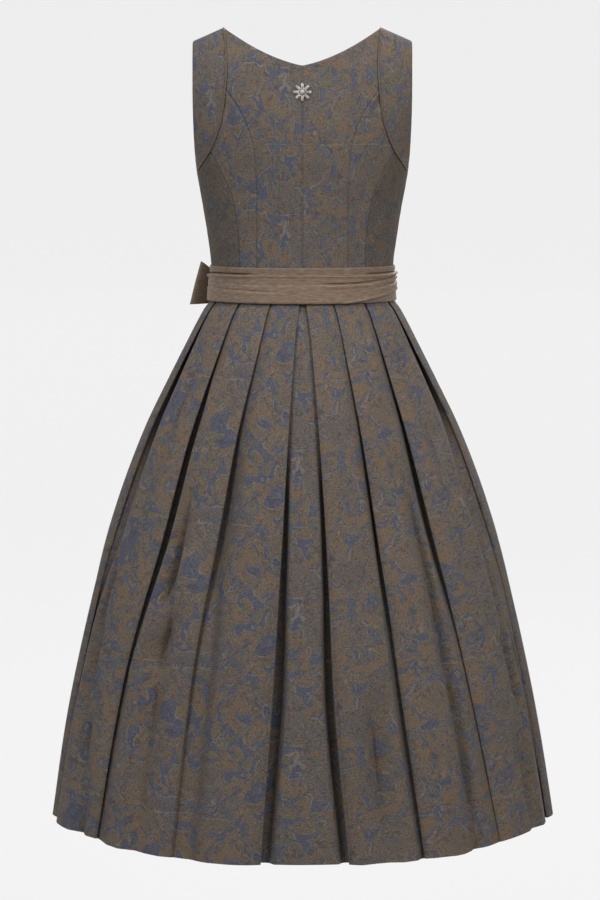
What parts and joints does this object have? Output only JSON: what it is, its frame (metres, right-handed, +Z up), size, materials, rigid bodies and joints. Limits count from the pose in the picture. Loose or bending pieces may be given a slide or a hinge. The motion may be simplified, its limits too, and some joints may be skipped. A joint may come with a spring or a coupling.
{
  "type": "european folk dress",
  "caption": "Sleeveless dirndl: shaped bodice with a scooped front, pleated calf-length skirt, apron tied with a wide sash and bow. Hollow, as worn.",
  "frame": {"origin": "midway between the two shoulder straps, level with the points where the neckline meets the shoulder seams", "axes": "+Z up towards the shoulders, -Y out of the back, +Y out of the front, +X towards the wearer's right"},
  "size_m": [0.7374, 0.4663, 1.1511],
  "materials": {
    "dress_cloth": "patterned woven jacquard",
    "bodice_side": "patterned woven jacquard, darker",
    "tie_cloth": "plain changeant taffeta",
    "piping": "twisted cord piping",
    "metal": "cast, antiqued silver colour"
  },
  "bodies": {
    "root": {"back_centre_left": "dress_cloth", "back_centre_right": "dress_cloth", "back_middle_left": "dress_cloth", "back_middle_right": "dress_cloth", "back_side_left": "bodice_side", "back_side_right": "bodice_side", "yoke_back_left": "dress_cloth", "yoke_back_right": "dress_cloth", "front_left": "dress_cloth", "front_right": "dress_cloth", "front_side_left": "bodice_side", "front_side_right": "bodice_side", "piping_left": "piping", "piping_right": "piping", "button_stand": "dress_cloth", "button_1": "metal", "button_2": "metal", "button_3": "metal", "button_4": "metal", "button_5": "metal", "button_6": "metal", "ornament": "metal", "skirt_back_left": "dress_cloth", "skirt_back_right": "dress_cloth", "skirt_front": "dress_cloth", "apron": "tie_cloth", "sash": "tie_cloth", "bow_knot": "tie_cloth", "bow_loop_front": "tie_cloth", "bow_loop_side": "tie_cloth", "tie_tail_short": "tie_cloth", "tie_tail_long": "tie_cloth"}
  },
  "joints": []
}
